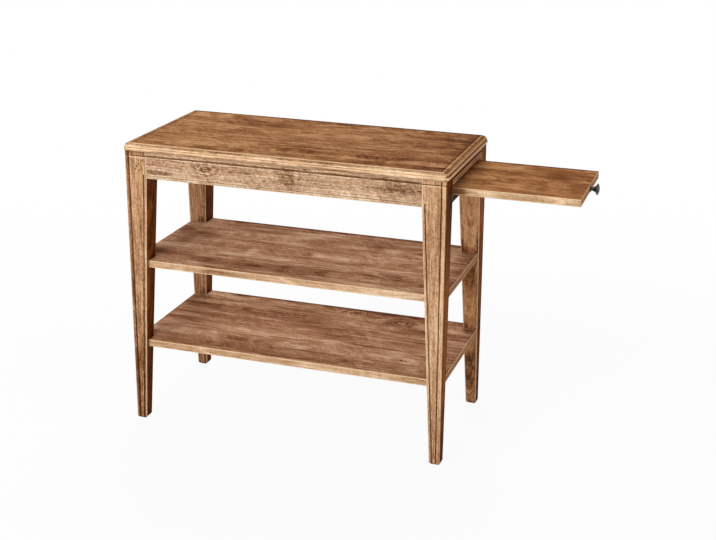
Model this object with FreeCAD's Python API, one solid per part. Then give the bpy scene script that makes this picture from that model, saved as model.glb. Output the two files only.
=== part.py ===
import FreeCAD, Part
import math
import os

from FreeCAD import Vector

# A wooden side table with two shelves and a sliding leaf. All sizes are in millimetres.
# X runs along the length, towards the leaf. The front is -Y and +Z is up.

# The frame
table_height = 610.0
frame_length = 676.0
frame_depth = 320.0

# The top, whose moulded edge is a step, an ovolo, a quirk and a bead
top_thickness = 16.0
top_overhang = 4.0
top_corner_radius = 14.0
top_step_drop = 1.4
top_step_ledge = 1.2
ovolo_radius = 6.0
ovolo_setback = 2.0
top_quirk_height = 1.0

# The legs, tapered on their two inner faces
leg_width = 48.0
foot_width = 23.0
foot_bevel = 4.5
leg_corner_radius = 4.0
leg_edge_radius = 1.6
leg_outer_bead = 8.0
leg_inner_bead = 5.0
leg_groove_width = 2.6
leg_groove_depth = 2.0
leg_groove_rise = 8.0

# The aprons and the two rails beside the leaf
apron_height = 55.0
apron_thickness = 20.0
apron_bead_height = 5.5
apron_bead_radius = 2.0
apron_quirk_height = 1.8
apron_quirk_depth = 1.6
rail_ease = 0.8
lower_rail_height = 14.7

# The groove that runs round the frame just below the top
band_height = 8.0
band_groove_height = 2.0
band_groove_depth = 1.8

# Mortise and tenon joints
tenon_thickness = 8.0
tenon_length = 22.0
tenon_shoulder = 3.0
tenon_fit = 0.15

# The shelves, notched round the legs
shelf_thickness = 15.0
upper_shelf_height = 360.0
lower_shelf_height = 182.0
shelf_front_recess = 8.0
shelf_back_recess = 3.0
shelf_end_recess = 2.0
shelf_ease = 1.2
shelf_fit = 0.2

# The dowels between the shelves and the legs
dowel_radius = 4.0
dowel_length = 28.0
dowel_fit = 0.15
dowel_end_gap = 0.5

# The sliding leaf
leaf_length = 440.0
leaf_thickness = 15.0
leaf_extension = 246.0
leaf_side_gap = 6.0
leaf_top_gap = 6.0
leaf_corner_radius = 3.0
leaf_ease = 1.5
slide_clearance = 0.3
side_clearance = 0.5
stop_gap = 0.5

# The runners that carry the leaf, the tie across them and the batten above
runner_ledge = 14.0
runner_rise = 2.0
headroom = 2.0
tie_width = 18.0
batten_width = 20.0
leaf_stop_width = 20.0
leaf_stop_inset = 12.0
leaf_stop_clearance = 1.0

# The blocks in the corners away from the leaf
block_height = 30.0
block_reach = 50.0

# The knob
knob_projection = 18.0
knob_head_radius = 11.5
knob_neck_radius = 4.0
knob_base_radius = 6.5
knob_base_thickness = 1.6
knob_rim_thickness = 1.6
knob_dome_height = 3.0
flare_run_share = 0.62
flare_rise_share = 0.24

# The screws
screw_radius = 2.0
screw_head_radius = 4.0
screw_head_height = 2.6
screw_tip_length = 4.0
screw_tip_radius = 0.4
screw_bite = 9.0
screw_sink = 1.0
screw_fit = 0.15
stud_radius = 2.0
stud_length = 30.0
stud_knob_depth = 9.0
runner_screw_shares = (0.12, 0.5, 0.88)
batten_screw_shares = (-0.35, 0.0, 0.35)
stop_screw_shares = (-0.35, 0.0, 0.35)

# How far a cutter runs past a surface, and how near two points count as one
cut_overrun = 2.0
same_place = 0.01

# Heights and places that follow from the sizes above
half_length = frame_length / 2
half_depth = frame_depth / 2
top_underside = table_height - top_thickness
apron_bottom = top_underside - apron_height
apron_inner_y = half_depth - apron_thickness
leg_inner_x = half_length - leg_width
leaf_half_width = half_depth - leg_width - leaf_side_gap
leaf_bottom = apron_bottom + lower_rail_height + slide_clearance
leaf_top = leaf_bottom + leaf_thickness
leaf_end_x = half_length + leaf_extension
leaf_rear_x = leaf_end_x - leaf_length
closed_rear_x = leaf_rear_x - leaf_extension
runner_start_x = closed_rear_x - stop_gap
runner_bottom = apron_bottom + runner_rise
runner_top = leaf_top + headroom
guide_y = leaf_half_width + side_clearance
batten_start_x = leaf_rear_x + leaf_stop_width + stop_gap
leaf_stop_top = top_underside - leaf_stop_clearance

# The origin is on the floor, below the middle of the table's box with the leaf drawn out
origin_x = (leaf_end_x + knob_projection - half_length - top_overhang) / 2

PLUS_X = Vector(1, 0, 0)
PLUS_Y = Vector(0, 1, 0)
PLUS_Z = Vector(0, 0, 1)
CORNERS = ((-1, -1), (1, -1), (1, 1), (-1, 1))


def box(x_range, y_range, z_range):
    """A box between a low and a high value on each axis."""
    low = Vector(x_range[0], y_range[0], z_range[0])
    high = Vector(x_range[1], y_range[1], z_range[1])
    size = high - low
    return Part.makeBox(size.x, size.y, size.z, low)


def prism(points, direction):
    """A closed outline pushed along a direction."""
    return Part.Face(Part.makePolygon(points + points[:1])).extrude(direction)


def edges_at(shape, **places):
    """The edges whose ends all lie at the given x, y or z."""
    chosen = []
    for edge in shape.Edges:
        ends = [vertex.Point for vertex in edge.Vertexes]
        offsets = [abs(getattr(end, axis) - place) for end in ends for axis, place in places.items()]
        if max(offsets) < same_place:
            chosen.append(edge)
    return chosen


def to_corner(shape, side_x, side_y):
    """Moves a shape drawn inwards from the origin to one corner of the frame."""
    if side_x > 0:
        shape = shape.mirror(Vector(), PLUS_X)
    if side_y > 0:
        shape = shape.mirror(Vector(), PLUS_Y)
    return shape.translated(Vector(side_x * half_length, side_y * half_depth, 0))


def to_side(shape, side):
    """Moves a rail, drawn along X with its outer face at y = 0, to one side of the frame."""
    quarter_turns = {"front": 0, "right": 1, "back": 2, "left": 3}[side]
    reach = half_length if side in ("left", "right") else half_depth
    moved = shape.translated(Vector(0, -reach, 0))
    return moved.rotated(Vector(), PLUS_Z, math.degrees(math.pi / 2) * quarter_turns)


# The top

def top_outline():
    """The top's outer line in plan, starting at the middle of the front."""
    x = half_length + top_overhang
    y = half_depth + top_overhang
    r = top_corner_radius
    bulge = r * (1 - math.sqrt(0.5))
    start = Vector(0, -y, 0)
    edges = []
    place = start
    turns = ((1, -1, "x"), (1, 1, "y"), (-1, 1, "x"), (-1, -1, "y"))
    for sx, sy, arrival in turns:
        on_x_side = Vector(sx * (x - r), sy * y, 0)
        on_y_side = Vector(sx * x, sy * (y - r), 0)
        before, after = (on_x_side, on_y_side) if arrival == "x" else (on_y_side, on_x_side)
        middle = Vector(sx * (x - bulge), sy * (y - bulge), 0)
        edges.append(Part.makeLine(place, before))
        edges.append(Part.Arc(before, middle, after).toShape())
        place = after
    edges.append(Part.makeLine(place, start))
    return Part.Wire(edges)


def moulding_cutter():
    """The ring that the moulding leaves out of the top's square edge."""
    y = -half_depth - top_overhang
    step_z = table_height - top_step_drop
    ovolo_foot_z = step_z - ovolo_radius
    bead_top_z = ovolo_foot_z - top_quirk_height
    bead_radius = (bead_top_z - top_underside) / 2
    field_inset = ovolo_setback + ovolo_radius + top_step_ledge
    lean = ovolo_radius * math.sqrt(0.5)
    centre = Vector(0, y + ovolo_setback + ovolo_radius, ovolo_foot_z)
    high = table_height + cut_overrun
    low = top_underside - cut_overrun
    outside = y - cut_overrun
    ovolo_start = centre + Vector(0, 0, ovolo_radius)
    ovolo_end = centre - Vector(0, ovolo_radius, 0)
    bead_top = Vector(0, y + bead_radius, bead_top_z)
    bead_foot = Vector(0, y + bead_radius, top_underside)
    points = [
        Vector(0, y + field_inset, high),
        Vector(0, y + field_inset, step_z),
        ovolo_start,
    ]
    edges = [Part.makeLine(a, b) for a, b in zip(points, points[1:])]
    edges.append(Part.Arc(ovolo_start, centre + Vector(0, -lean, lean), ovolo_end).toShape())
    quirk = Vector(0, bead_top.y, ovolo_foot_z)
    edges.append(Part.makeLine(ovolo_end, quirk))
    edges.append(Part.makeLine(quirk, bead_top))
    bead_nose = Vector(0, y, top_underside + bead_radius)
    edges.append(Part.Arc(bead_top, bead_nose, bead_foot).toShape())
    rest = [bead_foot, Vector(0, bead_foot.y, low), Vector(0, outside, low), Vector(0, outside, high), points[0]]
    edges += [Part.makeLine(a, b) for a, b in zip(rest, rest[1:])]
    return top_outline().makePipeShell([Part.Wire(edges)], True, False)


def top_panel():
    outline = top_outline().translated(Vector(0, 0, top_underside))
    panel = Part.Face(outline).extrude(Vector(0, 0, top_thickness))
    panel = panel.cut(moulding_cutter())
    return panel.cut([screw(place, PLUS_Z, length, screw_fit) for place, length in top_screw_places()])


# The legs

def leg_width_at(z):
    """The leg's width at a height: even beside the aprons, then tapering to the foot."""
    if z >= apron_bottom:
        return leg_width
    return foot_width + (leg_width - foot_width) * z / apron_bottom


def tapered_square(outline, low, high):
    """What two equal outlines in s and z, one along each axis, have in common."""
    along_x = prism([Vector(s, low, z) for s, z in outline], Vector(0, high - low, 0))
    along_y = prism([Vector(low, s, z) for s, z in outline], Vector(high - low, 0, 0))
    return along_x.common(along_y)


def leg_shaft():
    """The tapered length below the aprons, with its long edges rounded."""
    outline = [(0, 0), (foot_width, 0), (leg_width, apron_bottom), (0, apron_bottom)]
    shaft = tapered_square(outline, 0, leg_width)
    slanted = []
    for edge in shaft.Edges:
        low, high = sorted((vertex.Point for vertex in edge.Vertexes), key=lambda point: point.z)
        if high.z - low.z > apron_bottom - same_place and high.distanceToPoint(low) > apron_bottom + same_place:
            slanted.append(edge)
    shaft = shaft.makeFillet(leg_edge_radius, slanted)
    return shaft.makeFillet(leg_corner_radius, edges_at(shaft, x=0, y=0))


def foot_shape():
    """A space that widens at 45 degrees from the floor, which bevels the foot's edges."""
    rise = leg_width
    near = foot_bevel
    far = foot_width - foot_bevel
    outline = [(near, 0), (far, 0), (far + rise, rise), (far + rise, apron_bottom)]
    outline += [(near - rise, apron_bottom), (near - rise, rise)]
    return tapered_square(outline, -rise, far + rise)


def leg_face_grooves():
    """The two quirks on the leg's front face, as cutters."""
    depth = (-cut_overrun, leg_groove_depth)
    outer = (leg_outer_bead, leg_outer_bead + leg_groove_width)
    grooves = [box(outer, depth, (-cut_overrun, top_underside + cut_overrun))]
    heights = (0, apron_bottom, apron_bottom + leg_groove_rise)
    far = [Vector(leg_width_at(z) - leg_inner_bead, depth[0], z) for z in heights]
    near = [point - Vector(leg_groove_width, 0, 0) for point in far]
    grooves.append(prism(far + near[::-1], Vector(0, depth[1] - depth[0], 0)))
    band_z = top_underside - band_height
    band = box((-cut_overrun, leg_width + cut_overrun), (-cut_overrun, band_groove_depth),
               (band_z - band_groove_height, band_z))
    return grooves + [band]


def bare_leg():
    """A leg drawn inwards from its outer corner at the origin, before its mortises."""
    block = box((0, leg_width), (0, leg_width), (apron_bottom, top_underside))
    block = block.makeFillet(leg_corner_radius, edges_at(block, x=0, y=0))
    leg = leg_shaft().common(foot_shape()).fuse(block).removeSplitter()
    front_grooves = leg_face_grooves()
    side_grooves = [groove.mirror(Vector(), PLUS_X - PLUS_Y) for groove in front_grooves]
    return leg.cut(front_grooves + side_grooves)


def leg(side_x, side_y):
    mortises = [to_side(shape, side) for side, shape in all_tenons(tenon_fit)]
    bores = [dowel(side_x, side_y, top, dowel_fit) for top in (upper_shelf_height, lower_shelf_height)]
    return to_corner(bare_leg(), side_x, side_y).cut(mortises + bores)


# The aprons and rails

def rail_span(side):
    """The clear length between the two legs on one side."""
    overall = frame_depth if side in ("left", "right") else frame_length
    return overall - 2 * leg_width


def tenons(side, z_low, z_high, grow):
    """The two tenons of a rail. A mortise is the same shape grown all round."""
    half_span = rail_span(side) / 2
    middle = apron_thickness / 2
    across = (middle - tenon_thickness / 2 - grow, middle + tenon_thickness / 2 + grow)
    up = (z_low + tenon_shoulder - grow, z_high - tenon_shoulder + grow)
    reach = half_span + tenon_length + grow
    root = half_span - grow
    return [box((root, reach), across, up), box((-reach, -root), across, up)]


def rail_heights():
    """The side, the low and the high level of each rail."""
    upper_low = leaf_top + leaf_top_gap
    lower_high = apron_bottom + lower_rail_height
    return {
        "front_apron": ("front", apron_bottom, top_underside),
        "back_apron": ("back", apron_bottom, top_underside),
        "left_apron": ("left", apron_bottom, top_underside),
        "right_upper_rail": ("right", upper_low, top_underside),
        "right_lower_rail": ("right", apron_bottom, lower_high),
    }


def all_tenons(grow):
    """Every tenon with its side of the frame."""
    found = []
    for side, z_low, z_high in rail_heights().values():
        found += [(side, shape) for shape in tenons(side, z_low, z_high, grow)]
    return found


def rail(name):
    """One rail: eased outer edges, tenons, the band groove and, on an apron, the bead."""
    side, z_low, z_high = rail_heights()[name]
    half_span = rail_span(side) / 2
    body = box((-half_span, half_span), (0, apron_thickness), (z_low, z_high))
    sharp = edges_at(body, y=0, z=z_high) + edges_at(body, x=half_span, y=0) + edges_at(body, x=-half_span, y=0)
    body = body.makeChamfer(rail_ease, sharp)
    body = body.makeFillet(apron_bead_radius, edges_at(body, y=0, z=z_low))
    grooves = []
    along = (-half_span - cut_overrun, half_span + cut_overrun)
    if z_high == top_underside:
        band_z = top_underside - band_height
        heights = (band_z - band_groove_height, band_z)
        grooves.append(box(along, (-cut_overrun, band_groove_depth), heights))
    if name.endswith("apron"):
        quirk_z = z_low + apron_bead_height
        heights = (quirk_z, quirk_z + apron_quirk_height)
        grooves.append(box(along, (-cut_overrun, apron_quirk_depth), heights))
    if grooves:
        body = body.cut(grooves)
    body = body.fuse(tenons(side, z_low, z_high, 0)).removeSplitter()
    body = to_side(body, side)
    if side in ("front", "back"):
        body = body.cut([screw(place, way, length, screw_fit) for place, way, length in runner_screw_places()])
    return body


# The shelves and their dowels

def leg_notch():
    """The room that a shelf leaves for a leg, drawn inwards from the frame's corner."""
    near = -cut_overrun
    outline = [(near, 0), (foot_width + shelf_fit, 0), (leg_width + shelf_fit, apron_bottom), (near, apron_bottom)]
    return tapered_square(outline, near, leg_width + shelf_fit)


def dowel(side_x, side_y, shelf_top, grow):
    """A dowel from a leg's inner face into the shelf, or the bore for it."""
    z = shelf_top - shelf_thickness / 2
    width = leg_width_at(z)
    recess = shelf_front_recess if side_y < 0 else shelf_back_recess
    y = side_y * (half_depth - (recess + width) / 2)
    end_gap = dowel_end_gap if grow else 0
    reach = dowel_length + 2 * end_gap
    face_x = side_x * (half_length - width)
    start = Vector(face_x + side_x * reach / 2, y, z)
    return Part.makeCylinder(dowel_radius + grow, reach, start, PLUS_X * -side_x)


def shelf(shelf_top):
    x = half_length - shelf_end_recess
    y_range = (shelf_front_recess - half_depth, half_depth - shelf_back_recess)
    board = box((-x, x), y_range, (shelf_top - shelf_thickness, shelf_top))
    board = board.makeFillet(shelf_ease, edges_at(board, z=shelf_top) + edges_at(board, z=shelf_top - shelf_thickness))
    notches = [to_corner(leg_notch(), sx, sy) for sx, sy in CORNERS]
    bores = [dowel(sx, sy, shelf_top, dowel_fit) for sx, sy in CORNERS]
    return board.cut(notches + bores)


def shelf_dowels(shelf_top):
    return Part.makeCompound([dowel(sx, sy, shelf_top, 0) for sx, sy in CORNERS])


# The screws

def screw(head, direction, length, grow=0):
    """A countersunk screw whose head starts just below the surface, or the hole for it."""
    top = head + direction * screw_sink
    shank_length = length - screw_sink - screw_tip_length
    cone = Part.makeCone(screw_head_radius + grow, screw_radius + grow, screw_head_height, top, direction)
    shank = Part.makeCylinder(screw_radius + grow, shank_length, top, direction)
    tip_top = top + direction * shank_length
    tip = Part.makeCone(screw_radius + grow, screw_tip_radius + grow, screw_tip_length + grow, tip_top, direction)
    pieces = [shank, tip]
    if grow:
        sink = screw_sink + cut_overrun
        pieces.append(Part.makeCylinder(screw_head_radius + grow, sink, top, direction * -1))
    return cone.fuse(pieces).removeSplitter()


def block_screw_place(side_y):
    """The screw of a corner block, midway between the leg's corner and the block's long face."""
    apron_inner_x = half_length - apron_thickness
    long_face_x = (leg_inner_x - block_reach + apron_inner_x) / 2
    long_face_y = (apron_inner_y + half_depth - leg_width - block_reach) / 2
    x = -(leg_inner_x + long_face_x) / 2
    y = side_y * (half_depth - leg_width + long_face_y) / 2
    return Vector(x, y, top_underside - block_height)


def top_screw_places():
    """Where the screws that hold the top start, and how long they are."""
    places = [(block_screw_place(side_y), block_height + screw_bite) for side_y in (-1, 1)]
    x = batten_start_x + batten_width / 2
    for share in batten_screw_shares:
        y = share * 2 * apron_inner_y
        places.append((Vector(x, y, runner_top), top_underside - runner_top + screw_bite))
    return places


def top_screws():
    return Part.makeCompound([screw(place, PLUS_Z, length) for place, length in top_screw_places()])


def runner_screw_places():
    """Where the screws from the runners into the aprons start, their way and their length."""
    z = (leaf_bottom + leaf_top) / 2
    length = apron_inner_y - guide_y + screw_bite
    places = []
    for side_y in (-1, 1):
        for share in runner_screw_shares:
            x = runner_start_x + share * (leg_inner_x - runner_start_x)
            places.append((Vector(x, side_y * guide_y, z), PLUS_Y * side_y, length))
    return places


def runner_screws():
    return Part.makeCompound([screw(place, way, length) for place, way, length in runner_screw_places()])


def tie_screw_places():
    """Where the screws from the tie into the ends of the runners start."""
    y = (guide_y + apron_inner_y) / 2
    z = (runner_bottom + runner_top) / 2
    return [Vector(runner_start_x - tie_width, side_y * y, z) for side_y in (-1, 1)]


def tie_screw_cutters(grow):
    return [screw(place, PLUS_X, tie_width + screw_bite, grow) for place in tie_screw_places()]


def leaf_stop_screw_cutters(grow):
    """The screws from below the leaf into its stop."""
    x = leaf_rear_x + leaf_stop_width / 2
    length = leaf_thickness + screw_bite
    places = [Vector(x, share * 2 * leaf_half_width, leaf_bottom) for share in stop_screw_shares]
    return [screw(place, PLUS_Z, length, grow) for place in places]


# The parts that carry the leaf

def runner(side_y):
    """An L-shaped runner: a ledge below the leaf and a guide beside it."""
    ledge_y = leaf_half_width - runner_ledge
    ledge_z = leaf_bottom - slide_clearance
    outline = [
        (ledge_y, runner_bottom),
        (apron_inner_y, runner_bottom),
        (apron_inner_y, runner_top),
        (guide_y, runner_top),
        (guide_y, ledge_z),
        (ledge_y, ledge_z),
    ]
    points = [Vector(runner_start_x, side_y * y, z) for y, z in outline]
    body = prism(points, Vector(leg_inner_x - runner_start_x, 0, 0))
    holes = [screw(place, way, length, screw_fit) for place, way, length in runner_screw_places()]
    return body.cut(holes + tie_screw_cutters(screw_fit))


def runner_tie():
    """The strip across the rear ends of the runners, which stops the leaf when it is shut."""
    x_range = (runner_start_x - tie_width, runner_start_x)
    body = box(x_range, (-apron_inner_y, apron_inner_y), (runner_bottom, runner_top))
    return body.cut(tie_screw_cutters(screw_fit))


def stop_batten():
    """The batten under the top, which the leaf's stop meets when the leaf is out."""
    x_range = (batten_start_x, batten_start_x + batten_width)
    body = box(x_range, (-apron_inner_y, apron_inner_y), (runner_top, top_underside))
    return body.cut([screw(place, PLUS_Z, length, screw_fit) for place, length in top_screw_places()])


def corner_block(side_y):
    """A block notched round a leg, which joins the left apron to a long one and holds the top."""
    apron_inner_x = half_length - apron_thickness
    leg_inner_y = half_depth - leg_width
    outline = [
        (leg_inner_x, apron_inner_y),
        (leg_inner_x - block_reach, apron_inner_y),
        (apron_inner_x, leg_inner_y - block_reach),
        (apron_inner_x, leg_inner_y),
        (leg_inner_x, leg_inner_y),
    ]
    points = [Vector(-x, side_y * y, top_underside - block_height) for x, y in outline]
    body = prism(points, Vector(0, 0, block_height))
    return body.cut([screw(place, PLUS_Z, length, screw_fit) for place, length in top_screw_places()])


# The leaf and what moves with it

def knob_stud(grow):
    """The stud that runs from the knob into the leaf's end, or the bore for it."""
    end_gap = dowel_end_gap if grow else 0
    start = Vector(leaf_end_x + stud_knob_depth + end_gap, 0, (leaf_bottom + leaf_top) / 2)
    return Part.makeCylinder(stud_radius + grow, stud_length + 2 * end_gap, start, PLUS_X * -1)


def leaf():
    sides = (-leaf_half_width, leaf_half_width)
    ends = (leaf_rear_x, leaf_end_x)
    board = box(ends, sides, (leaf_bottom, leaf_top))
    upright = [edge for x in ends for y in sides for edge in edges_at(board, x=x, y=y)]
    board = board.makeFillet(leaf_corner_radius, upright)
    board = board.makeFillet(leaf_ease, edges_at(board, z=leaf_top) + edges_at(board, z=leaf_bottom))
    return board.cut(leaf_stop_screw_cutters(screw_fit) + [knob_stud(screw_fit)])


def leaf_stop():
    """The batten on the leaf's rear end, which keeps the leaf in the table and level."""
    y = leaf_half_width - leaf_stop_inset
    body = box((leaf_rear_x, leaf_rear_x + leaf_stop_width), (-y, y), (leaf_top, leaf_stop_top))
    return body.cut(leaf_stop_screw_cutters(screw_fit))


def knob():
    """A turned knob: a small base, a narrow neck, a flared back and a domed face."""
    rim_x = knob_projection - knob_dome_height
    back_x = rim_x - knob_rim_thickness
    run = back_x - knob_base_thickness
    rise = knob_head_radius - knob_neck_radius
    flare_middle = (knob_base_thickness + flare_run_share * run, knob_neck_radius + flare_rise_share * rise)
    dome_radius = (knob_head_radius ** 2 + knob_dome_height ** 2) / (2 * knob_dome_height)
    half_angle = math.asin(knob_head_radius / dome_radius) / 2
    dome_x = knob_projection - dome_radius * (1 - math.cos(half_angle))
    dome_middle = (dome_x, dome_radius * math.sin(half_angle))

    def at(x, r):
        return Vector(leaf_end_x + x, 0, (leaf_bottom + leaf_top) / 2 + r)

    rim = at(rim_x, knob_head_radius)
    back = at(back_x, knob_head_radius)
    neck = at(knob_base_thickness, knob_neck_radius)
    tip = at(knob_projection, 0)
    line_points = [tip, at(0, 0), at(0, knob_base_radius), at(knob_base_thickness, knob_base_radius), neck]
    edges = [Part.makeLine(a, b) for a, b in zip(line_points, line_points[1:])]
    edges.append(Part.Arc(neck, at(*flare_middle), back).toShape())
    edges.append(Part.makeLine(back, rim))
    edges.append(Part.Arc(rim, at(*dome_middle), tip).toShape())
    body = Part.Face(Part.Wire(edges)).revolve(at(0, 0), PLUS_X, math.degrees(2 * math.pi))
    return body.cut(knob_stud(screw_fit))


def nodes():
    """Every piece of the table by its name."""
    found = {
        "top_panel": top_panel(),
        "front_left_leg": leg(-1, -1),
        "front_right_leg": leg(1, -1),
        "back_right_leg": leg(1, 1),
        "back_left_leg": leg(-1, 1),
        "upper_shelf": shelf(upper_shelf_height),
        "lower_shelf": shelf(lower_shelf_height),
        "upper_shelf_dowels": shelf_dowels(upper_shelf_height),
        "lower_shelf_dowels": shelf_dowels(lower_shelf_height),
        "front_runner": runner(-1),
        "back_runner": runner(1),
        "runner_tie": runner_tie(),
        "stop_batten": stop_batten(),
        "front_corner_block": corner_block(-1),
        "back_corner_block": corner_block(1),
        "top_screws": top_screws(),
        "runner_screws": runner_screws(),
        "tie_screws": Part.makeCompound(tie_screw_cutters(0)),
        "leaf": leaf(),
        "leaf_stop": leaf_stop(),
        "leaf_stop_screws": Part.makeCompound(leaf_stop_screw_cutters(0)),
        "leaf_knob": knob(),
        "knob_stud": knob_stud(0),
    }
    for name in rail_heights():
        found[name] = rail(name)
    return found


os.makedirs("parts", exist_ok=True)
for name, shape in nodes().items():
    placed = shape.translated(Vector(-origin_x, 0, 0))
    placed.exportStep("parts/" + name + ".step")
    print(name, len(placed.Solids), "solids, volume", round(placed.Volume), "valid", placed.isValid())
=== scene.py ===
# %% [markdown]
# # A wooden side table with two shelves and a pull-out leaf
#
# The table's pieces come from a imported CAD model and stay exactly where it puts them.
# This lesson gives them their looks: stained wood with its grain, knots and worn edges, a black
# knob, a camera, lamps and a floor. Places in the scene are in metres. Inside the wood's patterns,
# and wherever a name ends in mm, lengths are in millimetres.

# %% Load the fixed frame
import math

import bpy
from mathutils import Matrix, Vector


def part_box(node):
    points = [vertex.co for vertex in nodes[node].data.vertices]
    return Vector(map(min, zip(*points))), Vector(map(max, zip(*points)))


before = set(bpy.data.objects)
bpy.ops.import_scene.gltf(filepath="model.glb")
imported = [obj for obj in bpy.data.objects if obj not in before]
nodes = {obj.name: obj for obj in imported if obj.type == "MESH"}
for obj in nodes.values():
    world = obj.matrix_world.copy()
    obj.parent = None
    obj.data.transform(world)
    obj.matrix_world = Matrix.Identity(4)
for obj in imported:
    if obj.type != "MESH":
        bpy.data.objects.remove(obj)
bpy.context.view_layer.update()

# %% [markdown]
# ## The camera
#
# A camera is a place, three directions and a lens. It could be turned by hand until the picture
# looks right, but numbers that were fitted to the table's corners match better. The directions come
# from the angle round the table, the angle above the floor and a small roll. The photograph was cut
# out of a wider picture, so the lens is shifted a little instead of turned, which keeps the legs'
# convergence right.

# %% The camera's directions
azimuth, elevation, roll = (math.radians(degrees) for degrees in (17.0745, 16.8979, 0.8002))
back = Vector((
    math.sin(azimuth) * math.cos(elevation),
    -math.cos(azimuth) * math.cos(elevation),
    math.sin(elevation),
))
level_right = Vector((math.cos(azimuth), math.sin(azimuth), 0.0))
level_up = back.cross(level_right)
right = level_right * math.cos(roll) + level_up * math.sin(roll)
up = level_up * math.cos(roll) - level_right * math.sin(roll)
print("the camera looks along", [round(-value, 3) for value in back])

# %% Place the camera
picture_width = 716
picture_middle = Vector((358.0, 270.0))
lens_middle = Vector((400.0, 200.0))
focal_pixels = 1282.932
frame_middle = Vector((-0.130, 0.0, 0.305))
to_the_right, higher, away = 0.189147, 0.168337, 2.728369
stand = frame_middle + level_right * to_the_right + level_up * higher + back * away

camera_data = bpy.data.cameras.new("camera")
camera_data.sensor_fit = "HORIZONTAL"
camera_data.sensor_width = 36.0
camera_data.lens = focal_pixels / picture_width * camera_data.sensor_width
camera_data.shift_x = (picture_middle.x - lens_middle.x) / picture_width
camera_data.shift_y = (lens_middle.y - picture_middle.y) / picture_width
camera = bpy.data.objects.new("camera", camera_data)
camera.matrix_world = Matrix((
    (right.x, up.x, back.x, stand.x),
    (right.y, up.y, back.y, stand.y),
    (right.z, up.z, back.z, stand.z),
    (0.0, 0.0, 0.0, 1.0),
))
bpy.context.scene.collection.objects.link(camera)
bpy.context.scene.camera = camera
bpy.context.scene.view_settings.view_transform = "Standard"
print("lens", round(camera_data.lens, 2), "mm, stands at", [round(value, 3) for value in stand])

# %% [markdown]
# ## Helpers for materials
#
# Node materials get long, so small helpers add a node, feed a socket with a value or a link, do
# sums, and make and place groups. All the wood below is worked out from each point's place in
# millimetres, so that the pattern runs right through every board, as it does in real timber. A
# picture of wood would have to be wrapped round each board and would show seams at its edges.

# %% Helpers that add and feed nodes
def add(tree, kind, **settings):
    """Adds a node and sets its options."""
    node = tree.nodes.new(kind)
    for option, value in settings.items():
        setattr(node, option, value)
    return node


def feed(tree, socket, value):
    """Links another socket to this one, or sets its value."""
    if isinstance(value, bpy.types.NodeSocket):
        tree.links.new(value, socket)
    else:
        socket.default_value = value


def split(tree, vector):
    """The three numbers of a vector."""
    node = add(tree, "ShaderNodeSeparateXYZ")
    feed(tree, node.inputs[0], vector)
    return node.outputs[:3]


def join(tree, *values):
    """A vector of three numbers."""
    node = add(tree, "ShaderNodeCombineXYZ")
    for socket, value in zip(node.inputs, values):
        feed(tree, socket, value)
    return node.outputs[0]


def mix(tree, share, first, second):
    """Goes from one colour to another."""
    node = add(tree, "ShaderNodeMix", data_type="RGBA")
    feed(tree, node.inputs[0], share)
    feed(tree, node.inputs[6], first)
    feed(tree, node.inputs[7], second)
    return node.outputs[2]


print("helpers that add and feed nodes are ready")

# %% Helpers that do sums
def calc(tree, operation, *values):
    """A sum on numbers."""
    node = add(tree, "ShaderNodeMath", operation=operation)
    for socket, value in zip(node.inputs, values):
        feed(tree, socket, value)
    return node.outputs[0]


def vector_calc(tree, operation, *values):
    """A sum on vectors. Lengths and distances come out as numbers."""
    node = add(tree, "ShaderNodeVectorMath", operation=operation)
    for socket, value in zip(node.inputs, values):
        feed(tree, socket, value)
    return node.outputs["Value" if operation in ("LENGTH", "DISTANCE") else "Vector"]


def chain(tree, operation, values):
    """Carries one sum through a list of numbers."""
    total = values[0]
    for value in values[1:]:
        total = calc(tree, operation, total, value)
    return total


print("helpers that do sums are ready")

# %% Short names for sums
def plus(tree, *values):
    return chain(tree, "ADD", values)


def times(tree, *values):
    return chain(tree, "MULTIPLY", values)


def least(tree, *values):
    return chain(tree, "MINIMUM", values)


def most(tree, *values):
    return chain(tree, "MAXIMUM", values)


def minus(tree, first, second):
    return calc(tree, "SUBTRACT", first, second)


def over(tree, first, second):
    """The first number divided by the second."""
    return calc(tree, "DIVIDE", first, second)


print("short names for sums are ready")

# %% Helpers for soft steps and random values
def step_between(tree, value, start, end, kind="SMOOTHSTEP"):
    """0 before start and 1 after end, with a smooth rise. It falls if start is above end."""
    node = add(tree, "ShaderNodeMapRange", interpolation_type=kind)
    feed(tree, node.inputs["Value"], value)
    low, high = (0.0, 1.0) if start < end else (1.0, 0.0)
    node.inputs["From Min"].default_value = min(start, end)
    node.inputs["From Max"].default_value = max(start, end)
    node.inputs["To Min"].default_value = low
    node.inputs["To Max"].default_value = high
    return node.outputs["Result"]


def noise(tree, place, stretch, detail=2.0, roughness=0.5):
    """Soft random values from 0 to 1. Stretch says how many patches fit in a millimetre."""
    node = add(tree, "ShaderNodeTexNoise", noise_dimensions="3D")
    feed(tree, node.inputs["Vector"], vector_calc(tree, "MULTIPLY", place, stretch))
    node.inputs["Scale"].default_value = 1.0
    node.inputs["Detail"].default_value = detail
    node.inputs["Roughness"].default_value = roughness
    return node.outputs["Fac"]


def white_noise(tree, first, second):
    """A chance value and colour for each pair of numbers."""
    node = add(tree, "ShaderNodeTexWhiteNoise", noise_dimensions="2D")
    feed(tree, node.inputs["Vector"], join(tree, first, second, 0.0))
    return node.outputs


def swing(tree, value, size):
    """Turns a value from 0 to 1 into a plus or minus amount."""
    return times(tree, minus(tree, value, 0.5), size)


print("helpers for steps and random values are ready")

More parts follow.
